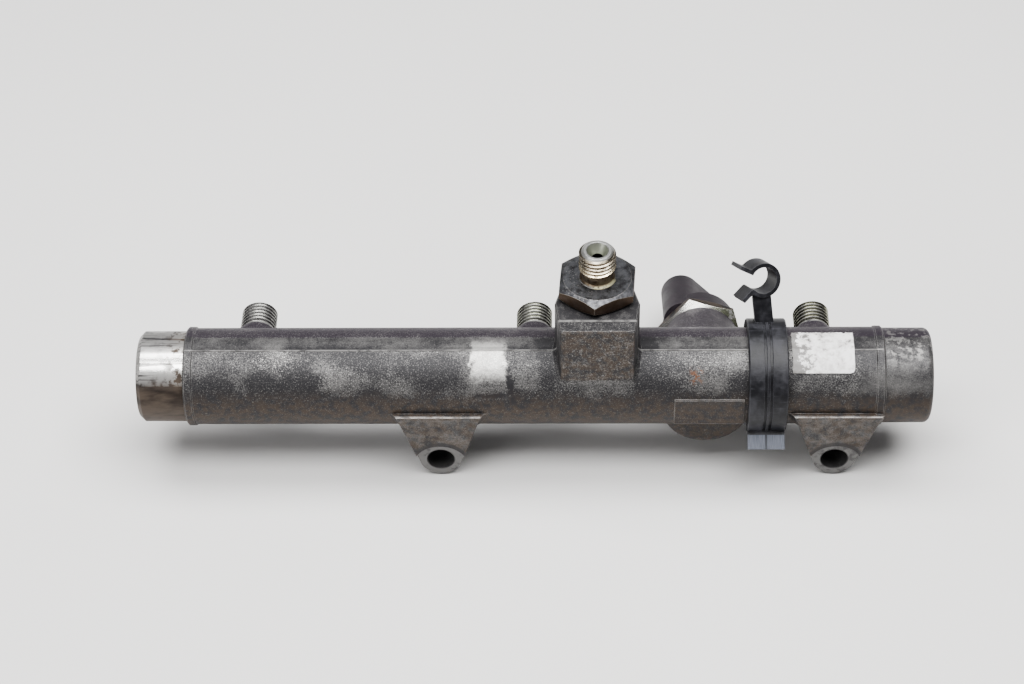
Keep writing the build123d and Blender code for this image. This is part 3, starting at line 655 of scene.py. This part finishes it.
def union_steel():
    f = Finish("union_zinc_worn", Specular_IOR_Level=0.5)
    rounded, edge = f.worn_edges(0.3)
    cloud = f.grain(2.4, 5, 0.65)
    fleck = f.step(f.grain(0.5, 2, 0.6, shift=4), 0.60, 0.70)
    left = f.step(f.x, BLOCK_X + 2, BLOCK_X - 6, 0.15, 0.55)
    painted_shade_below = f.step(f.facing((0, 0, 1)), 0.5, 0.1)
    color = f.mix(f.step(cloud, 0.35, 0.7), UNION_STEEL, OIL_FILM_AND_SHADE)
    color = f.mix(f.both(fleck, left), color, BARE_STEEL_AND_HIGHLIGHT)
    # painted shade: the downward faces of the union, its neck among them, are darkened brown
    color = f.mix(f.math("MULTIPLY", painted_shade_below, 0.8), color, BROWN_SHADE_AND_DIRT)
    color = f.mix(f.math("MULTIPLY", edge, 0.55), color, PALE_EDGE)
    spindle = near_axis(f, f.x, f.y, BLOCK_X, INLET_Y, SPINDLE_R)
    above = f.both(spindle, f.step(f.z, HEX_TOP_Z + 0.1, HEX_TOP_Z + 0.4))
    color = f.mix(above, color, f.mix(f.step(cloud, 0.40, 0.65), STAINED_ZINC, BROWN_SHADE_AND_DIRT))
    mouth = f.both(spindle, f.step(f.z, MOUTH_Z, MOUTH_Z + 0.6))
    color = f.mix(mouth, color, MOUTH_GREY)
    cone = f.both(near_axis(f, f.x, f.y, BLOCK_X, INLET_Y, CONE_R, 0.15),
                  f.step(f.z, CONE_FOOT_Z, CONE_FOOT_Z + 2))
    color = f.mix(cone, color, CONE_GREY)
    foot = f.both(spindle, in_span(f, f.z, HEX_TOP_Z, HEX_TOP_Z + 0.5, 0.2))
    crescent = f.both(foot, f.step(f.y, 4.0, 1.5), f.step(f.x, BLOCK_X - 2.5, BLOCK_X),
                      f.step(f.grain(1.5, 3, 0.6, shift=9), 0.36, 0.46))
    color = f.mix(crescent, color, SEALANT)
    # painted shade: the drilling is darkened
    color = f.mix(near_axis(f, f.x, f.y, BLOCK_X, INLET_Y, DRILLING_R), color, OIL_FILM_AND_SHADE)
    height = f.grain(0.6, 3, 0.6)
    return f.finish(color, f.blend(cloud, 0.32, 0.5), f.bump(height, 0.05, rounded), 0.85)


dress("inlet_union", union_steel())

# %% [markdown]
# The plain turned pieces are a plug, a washer and a cup, mostly hidden. They differ only in tone and
# dirt, so one recipe serves them all, with a shift that moves its noise from piece to piece.

# %% Build the plain turned steels
def turned_steel(name, tone, dirt, rough, shift):
    """Bare turned steel with dirt in clouds, worn bright on its edges."""
    f = Finish(name)
    rounded, edge = f.worn_edges(0.3)
    cloud = f.grain(3.0, 5, 0.65, shift=shift)
    color = f.mix(f.math("MULTIPLY", f.step(cloud, 0.40, 0.68), dirt), tone, OIL_FILM_AND_SHADE)
    speck = f.step(f.grain(0.6, 3, 0.7, shift=shift + 5), 0.62, 0.72)
    color = f.mix(f.math("MULTIPLY", speck, dirt), color, OIL_FILM_AND_SHADE)
    color = f.mix(f.math("MULTIPLY", edge, 0.6), color, tone)
    grain = f.grain(0.5, 3, 0.6, shift=shift)
    return f.finish(color, f.blend(cloud, rough, rough + 0.15), f.bump(grain, 0.03, rounded), 1.0)


dress("end_plug", turned_steel("phosphated_plug", (0.16, 0.16, 0.165), 0.6, 0.40, 2.0))
dress("inlet_seal_washer", turned_steel("dirty_washer", (0.10, 0.095, 0.09), 0.8, 0.50, 3.0))
dress("sensor_diaphragm", turned_steel("ground_cup", (0.60, 0.60, 0.60), 0.2, 0.25, 4.0))

# %% [markdown]
# The sensor's hexagon is the one part that still shines, and only on its chamfer, which looks up at the
# light: the chamfer is smoother, and its bright plate is a painted highlight. Its flats are a mottled dark
# brown. The two are told apart by how squarely the surface faces along
# the sensor's axis, which the imported record gives with the socket's mount.

# %% Build the sensor's hexagon
HIGHLIT_PLATE = (0.72, 0.71, 0.68)
GREEN_STAIN = (0.26, 0.27, 0.20)
BROWN_FLAT = (0.10, 0.075, 0.058)
GREY_EDGE = (0.45, 0.43, 0.40)


def sensor_hexagon():
    f = Finish("plated_hexagon")
    rounded, edge = f.worn_edges(0.25)
    along = f.math("ABSOLUTE", f.facing(tuple(mounts["sensor_socket"]["axis"])))
    cloud = f.grain(3.0, 5, 0.65, shift=1)
    # painted highlight: the chamfer, which faces up to the lamps, gets the bright plate
    bright = f.both(f.step(along, 0.25, 0.45), f.step(along, 0.97, 0.90, 0.35, 1.0))
    stain = f.both(f.step(f.x, 22.0, 30.0), f.step(cloud, 0.36, 0.50))
    flats = f.mix(f.step(cloud, 0.40, 0.62), BROWN_FLAT, OIL_FILM_AND_SHADE)
    color = f.mix(bright, flats, f.mix(stain, HIGHLIT_PLATE, GREEN_STAIN))
    color = f.mix(f.math("MULTIPLY", edge, 0.5), color, GREY_EDGE)
    grain = f.grain(0.5, 3, 0.6)
    return f.finish(color, f.blend(bright, 0.50, 0.26), f.bump(grain, 0.03, rounded), 0.9)


dress("sensor_port", sensor_hexagon())

# %% [markdown]
# ## Plastics, rubber and the board
# The clip and the sensor's shell are glass-filled nylon, black but never pure black: a moulding has a
# satin skin with a fine orange-peel grain, scuffs and a haze of dust. A single dark colour would turn
# into a hole in the picture, so roughness and colour both drift with noise, and scratches run across.

# %% Build the mouldings
def satin_colors(f, tone, dust, shift):
    """Colour of a moulding with dusty clouds, light scratches and pale edges, and its parts."""
    rounded, edge = f.worn_edges(0.25)
    cloud = f.step(f.grain(6.0, 5, 0.6, shift=shift), 0.40, 0.70)
    scratch = f.step(f.grain(1.1, 2, 0.4, stretch=(9, 0.25, 0.25), shift=shift + 3), 0.66, 0.72)
    dusty = tuple(t * 0.7 + d * 0.3 for t, d in zip(tone, dust))
    color = f.mix(cloud, tone, dusty)
    color = f.mix(f.math("MULTIPLY", scratch, 0.25), color, dust)
    color = f.mix(f.math("MULTIPLY", edge, 0.4), color, dust)
    return color, rounded, cloud, scratch


def satin_finish(f, color, rounded, cloud, scratch, rough, depth, shift):
    """Closes a moulding's finish with its orange peel and its scratches."""
    height = f.plus(f.grain(0.35, 2, 0.5, shift=shift), scratch, 0.5)
    return f.finish(color, f.blend(cloud, rough, rough + 0.14), f.bump(height, depth, rounded))


def moulded(name, tone, dust, rough, depth, shift):
    """Satin moulding of one tone."""
    f = Finish(name, Specular_IOR_Level=0.26)
    return satin_finish(f, *satin_colors(f, tone, dust, shift), rough, depth, shift)


# the shell's tone and dust carry a faint purple tint, a painted reflection of red surroundings over real
# dust
SHELL = moulded("sensor_shell", (0.011, 0.008, 0.012), (0.09, 0.075, 0.085), 0.42, 0.02, 1.0)
RUBBER = moulded("seal_rubber", (0.012, 0.012, 0.012), (0.05, 0.05, 0.05), 0.60, 0.01, 3.0)
LAMINATE = moulded("board_laminate", (0.02, 0.10, 0.045), (0.05, 0.14, 0.08), 0.35, 0.005, 4.0)
dress("sensor_connector", SHELL)
dress("sensor_seal_ring", RUBBER)
dress("sensor_board", LAMINATE)
for pin in ("sensor_pin_1", "sensor_pin_2", "sensor_pin_3"):
    dress(pin, turned_steel(pin + "_tinned", (0.70, 0.64, 0.50), 0.2, 0.25, 5.0))

# %% [markdown]
# The clip's front tab is painted pale bluish grey, a painted sheen, and a dark line runs down its middle.
# The tab could be a separate piece with its own material, but it is one moulding with the band. So the
# clip gets the same satin skin, with that painted sheen where it stands out from the band below the tube's
# middle.

# %% Build the clip's nylon
CLIP_TONE = (0.010, 0.010, 0.012)
CLIP_DUST = (0.11, 0.11, 0.125)
TAB_SHEEN_TONES = ((0.125, 0.135, 0.165), (0.085, 0.093, 0.115))
GROOVE_TONE = (0.02, 0.02, 0.023)
CLIP_MIDDLE_X = 42.15
GROOVE_HALF_W = 0.35
TAB_REACH = 20.3
TAB_TOP_Z = 21.0


def clip_nylon():
    f = Finish("clip_nylon", Specular_IOR_Level=0.32)
    reach = round_the_tube(f)[1]
    color, *skin = satin_colors(f, CLIP_TONE, CLIP_DUST, 2.0)
    tab = f.both(f.step(reach, TAB_REACH - 0.4, TAB_REACH), f.step(f.z, TAB_TOP_Z + 1, TAB_TOP_Z))
    lines = f.grain(0.7, 3, 0.5, stretch=(0.3, 6, 6), shift=21)
    # painted sheen: pale bluish tones on the tab, streaked by a noise
    tab_sheen = f.mix(f.step(lines, 0.36, 0.66), *TAB_SHEEN_TONES)
    groove = in_span(f, f.x, CLIP_MIDDLE_X - GROOVE_HALF_W, CLIP_MIDDLE_X + GROOVE_HALF_W, 0.15)
    color = f.mix(tab, color, f.mix(f.math("MULTIPLY", groove, 0.8), tab_sheen, GROOVE_TONE))
    return satin_finish(f, color, *skin, 0.38, 0.02, 2.0)


dress("pipe_clip", clip_nylon())

# %% [markdown]
# ## The crests of the threads
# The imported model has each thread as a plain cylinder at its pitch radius, which is where nut and
# screw meet. What the eye sees is the crest that winds round it. A Screw modifier on a triangle would
# do, but it can't fade out at the chamfer. So the crest is swept point by point: at each turn of the
# helix the crest's radius is held under the cone of the chamfer, and the ridge dies away there.

# %% Write the sweep for a thread crest
THREAD_PITCH = 1.5
CREST_R = 6.0
CREST_W = 0.22
FOOT_R = 5.35
FOOT_W = 1.02
TIP_R = 4.76
CONE_LEAD = 0.85
STEPS_PER_TURN = 64
TURNS_SPARED = 0.45
RUN_IN_TURNS = 0.25


def crest_section(step, length):
    """Height along the axis of a step of the helix, and the ridge's (radius, shift) corners there."""
    height = THREAD_PITCH * (0.5 + step / STEPS_PER_TURN)
    run_in = min(1.0, step / (RUN_IN_TURNS * STEPS_PER_TURN))
    cone_r = TIP_R + max(0.0, length + CONE_LEAD - height)
    crest_r = min(FOOT_R + (CREST_R - FOOT_R) * run_in, cone_r)
    return height, ((FOOT_R, -FOOT_W / 2), (crest_r, -CREST_W / 2),
                    (crest_r, CREST_W / 2), (FOOT_R, FOOT_W / 2))


def thread_crest(name, foot, outwards, length, material):
    """Helical ridge round the axis from foot, fading out at both ends."""
    axis = Vector(outwards).normalized()
    side = axis.orthogonal().normalized()
    other = axis.cross(side)
    turns = length / THREAD_PITCH - TURNS_SPARED
    count = int(turns * STEPS_PER_TURN)
    verts = []
    for i in range(count + 1):
        angle = tau * i / STEPS_PER_TURN
        spoke = side * cos(angle) + other * sin(angle)
        height, corners = crest_section(i, length)
        verts += [foot + (spoke * radius + axis * (height + shift)) * MM for radius, shift in corners]
    faces = [(4 * i + k, 4 * i + (k + 1) % 4, 4 * i + 4 + (k + 1) % 4, 4 * i + 4 + k)
             for i in range(count) for k in range(4)]
    faces += [(3, 2, 1, 0), tuple(4 * count + k for k in range(4))]
    mesh = bpy.data.meshes.new(name)
    mesh.from_pydata(verts, [], faces)
    mesh.materials.append(material)
    piece = bpy.data.objects.new(name, mesh)
    bpy.context.scene.collection.objects.link(piece)
    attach(piece, "root")
    print(name, "has", len(faces), "faces over", round(turns, 1), "turns")


# %% [markdown]
# The finish of a crest is that of the thread below it, only brighter, because that is where the nuts
# have rubbed. It is a recipe of its own, as the crest is a separate mesh. The outlets differ a little:
# two are silver and the right one is olive. On the union only the two lowest crests shine.

# %% Cut the four visible threads
OUTLET_THREAD_LEN = 10.5
UNION_THREAD_LEN = 8.0
UNION_NECK_LEN = 3.1
OUTLET_TONES = ((0.52, 0.52, 0.50), (0.52, 0.53, 0.46), (0.36, 0.36, 0.29))
GREY_CREST = (0.30, 0.27, 0.22)
GOLD_CREST = (0.78, 0.68, 0.50)
GOLD_TOP_Z = 71.2


def outlet_crest_finish(name, tone):
    f = Finish(name, Metallic=1.0)
    cloud = f.step(f.grain(1.6, 5, 0.7), 0.45, 0.70)
    speck = f.step(f.grain(0.7, 2, 0.6, shift=8), 0.66, 0.72)
    color = f.mix(f.math("MULTIPLY", cloud, 0.55), tone, OIL_FILM_AND_SHADE)
    color = f.mix(speck, color, OIL_FILM_AND_SHADE)
    return f.finish(color, f.blend(cloud, 0.22, 0.42), f.bump(f.grain(0.3, 2, 0.5), 0.02))


def union_crest_finish():
    f = Finish("union_crest_zinc", Metallic=1.0)
    cloud = f.step(f.grain(1.6, 5, 0.7), 0.45, 0.70)
    tone = f.mix(f.step(f.z, GOLD_TOP_Z, GOLD_TOP_Z - 1), GREY_CREST, GOLD_CREST)
    color = f.mix(f.math("MULTIPLY", cloud, 0.6), tone, BROWN_SHADE_AND_DIRT)
    return f.finish(color, f.blend(cloud, 0.24, 0.42), f.bump(f.grain(0.3, 2, 0.5), 0.02))


for number, tone in enumerate(OUTLET_TONES, start=1):
    foot = Vector(mounts["outlet_" + str(number)]["pos_m"])
    foot.y = OUTLET_THREAD_Y * MM
    worn = outlet_crest_finish("outlet_crest_" + str(number), tone)
    thread_crest("outlet_thread_" + str(number), foot, (0, 1, 0), OUTLET_THREAD_LEN, worn)
union_foot = Vector((BLOCK_X, INLET_Y, HEX_TOP_Z + UNION_NECK_LEN)) * MM
thread_crest("union_thread", union_foot, (0, 0, 1), UNION_THREAD_LEN, union_crest_finish())

# %% [markdown]
# ## The worn label
# A white film label is stuck over the top of the tube beside the clip. It is blank here, rubbed grey
# along its left side and torn at the top edge, with one rounded corner left. A decal in the tube's
# material could show it, but a real film has an edge that catches light. So it is a thin sheet bent
# round the tube, with its torn sides moved in by noise. Along the top of the tube the forging has a low
# flat land, and the film climbs its front corner and bridges down.

# %% Find where each point of the label lies
LABEL_X = (49.5, 70.2)
LABEL_TURN = (-18.0, 42.5)
LABEL_LIFT = 0.14
CORNER_R = 1.6
LEFT_TEAR = 0.9
TOP_TEAR = 1.6
TEAR_WAVES = ((0.9, 0.5, 0), (3.1, 0.25, 5))
LAND_TOP = 15.84
BRIDGE_TURN = 7.0


def torn(place, depth, shift):
    """How far a torn side moves in at a place along it, in mm."""
    waves = [gain * noise.noise(Vector((place * rate, shift, layer))) for rate, gain, layer in TEAR_WAVES]
    return depth * (0.5 + sum(waves))


def seat_radius(turn):
    """Distance from the tube's axis to what the label lies on, with a bridge past the land's corner."""
    corner = LAND_TURN[1]
    crest = LAND_TOP / cos(radians(corner))
    if LAND_TURN[0] < turn <= corner:
        return max(TUBE_R, LAND_TOP / cos(radians(turn)))
    fall = max(0.0, 1 - (turn - corner) / BRIDGE_TURN) if turn > corner else 0.0
    return TUBE_R + (crest - TUBE_R) * fall


def label_point(u, v):
    """Place on the label, with u from left to right and v from the top edge to the front edge."""
    length = TUBE_R * radians(LABEL_TURN[1] - LABEL_TURN[0])
    left = LABEL_X[0] + torn(v * length, LEFT_TEAR, 1.0)
    corner = max(0.0, v * length - (length - CORNER_R))
    right = LABEL_X[1] - CORNER_R + (CORNER_R ** 2 - min(corner, CORNER_R) ** 2) ** 0.5
    x = left + u * (right - left)
    top_in = torn(x, TOP_TEAR, 9.0)
    turned = radians(LABEL_TURN[0]) + (top_in + v * (length - top_in)) / TUBE_R
    reach = seat_radius(turned * 180 / pi) + LABEL_LIFT
    return Vector((x, TUBE_Y - reach * sin(turned), TUBE_Z + reach * cos(turned))) * MM


# %% [markdown]
# The points make one sheet of small quads, and a Solidify modifier gives it the thickness of a film.

# %% Bend the label round the tube
LABEL_THICK = 0.09
LABEL_COLUMNS = 64
LABEL_ROWS = 56


def label_sheet():
    verts = [label_point(i / LABEL_COLUMNS, j / LABEL_ROWS)
             for j in range(LABEL_ROWS + 1) for i in range(LABEL_COLUMNS + 1)]
    wide = LABEL_COLUMNS + 1
    faces = [(j * wide + i, (j + 1) * wide + i, (j + 1) * wide + i + 1, j * wide + i + 1)
             for j in range(LABEL_ROWS) for i in range(LABEL_COLUMNS)]
    mesh = bpy.data.meshes.new("label")
    mesh.from_pydata(verts, [], faces)
    for face in mesh.polygons:
        face.use_smooth = True
    piece = bpy.data.objects.new("label", mesh)
    bpy.context.scene.collection.objects.link(piece)
    thick = piece.modifiers.new("film", "SOLIDIFY")
    thick.thickness = LABEL_THICK * MM
    thick.offset = 0.0
    return piece


label = label_sheet()
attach(label, "root")
print("label size in mm:", [round(side / MM, 1) for side in label.dimensions])

# %% [markdown]
# The film itself is matt white. Where it was rubbed, the dirty steel shows through, so its colour
# falls to oily grey there: most along the left side, in flecks elsewhere.

# %% Dirty the label
FILM_WHITES = ((0.80, 0.79, 0.78), (0.56, 0.54, 0.53))
FLECK_TONE = (0.16, 0.14, 0.13)
RUBBED_TONE = (0.10, 0.095, 0.09)


def worn_film():
    f = Finish("label_film_worn", Specular_IOR_Level=0.35)
    drift = f.swing(f.grain(6.0, 4, 0.6, shift=12), 14.0)
    left = f.step(f.math("ADD", f.x, drift), 58.0, 49.0)
    wear = f.grain(2.8, 6, 0.66)
    rubbed = f.step(f.plus(wear, left, 0.25), 0.58, 0.66)
    fleck = f.step(f.grain(0.6, 3, 0.7, shift=2), 0.66, 0.72)
    color = f.mix(f.step(wear, 0.40, 0.62), *FILM_WHITES)
    color = f.mix(f.math("MULTIPLY", fleck, 0.6), color, FLECK_TONE)
    color = f.mix(f.math("MULTIPLY", rubbed, 0.8), color, RUBBED_TONE)
    return f.finish(color, 0.45, f.bump(f.grain(2.5, 4, 0.6, shift=6), 0.05))


label.data.materials.append(worn_film())
print("the label wears", label.data.materials[0].name)

# %% [markdown]
# ## Floor and light
# The rail stands on a plain pale floor. A grey of one value would look like no surface at all, so a
# very slow noise lets it drift a little.

# %% Lay the floor
FLOOR_Z = cad_low.z
FLOOR_SIZE = 6.0
FLOOR_TONES = ((0.66, 0.65, 0.64), (0.72, 0.715, 0.705))


def pale_floor():
    f = Finish("pale_floor")
    return f.finish(f.mix(f.grain(180.0, 3, 0.5), *FLOOR_TONES), 0.62)


bpy.ops.mesh.primitive_plane_add(size=FLOOR_SIZE, location=(0, 0, FLOOR_Z))
floor = bpy.context.object
floor.name = "floor"
floor.data.materials.append(pale_floor())
print("the floor lies at Z", round(FLOOR_Z / MM, 2), "mm")

# %% [markdown]
# Two long soft boxes hang over the rail, a little behind and a little in front: a polished cylinder
# shows them as two bright bars with a dark line between, as the turned journal does. One big light
# would give it a single flat bar. A small box lights the left end, and a pale world fills in the rest.

# %% Hang the lights
AIM = Vector((-0.03, 0, 0.02))
SOFT_BOXES = (
    ("box_behind", (0, 0.19, 1.0), (1.3, 0.42), 14),
    ("box_front", (0, -0.29, 1.0), (1.3, 0.36), 14),
    ("side_fill", (-0.9, -0.7, 0.5), (0.6, 0.6), 4),
)
WORLD_TONE = (0.80, 0.80, 0.82, 1)
WORLD_STRENGTH = 0.22


def soft_box(name, at, size, watts):
    """Area light of two sides, aimed at the rail."""
    data = bpy.data.lights.new(name, "AREA")
    data.shape = "RECTANGLE"
    data.size, data.size_y = size
    data.energy = watts
    light = bpy.data.objects.new(name, data)
    light.location = at
    light.rotation_euler = (AIM - Vector(at)).to_track_quat("-Z", "Y").to_euler()
    bpy.context.scene.collection.objects.link(light)
    print(name, "gives", watts, "W")


for box in SOFT_BOXES:
    soft_box(*box)
world = bpy.data.worlds.new("studio")
world.use_nodes = True
world.node_tree.nodes["Background"].inputs["Color"].default_value = WORLD_TONE
world.node_tree.nodes["Background"].inputs["Strength"].default_value = WORLD_STRENGTH
bpy.context.scene.world = world
bpy.context.scene.view_settings.look = "AgX - Medium High Contrast"
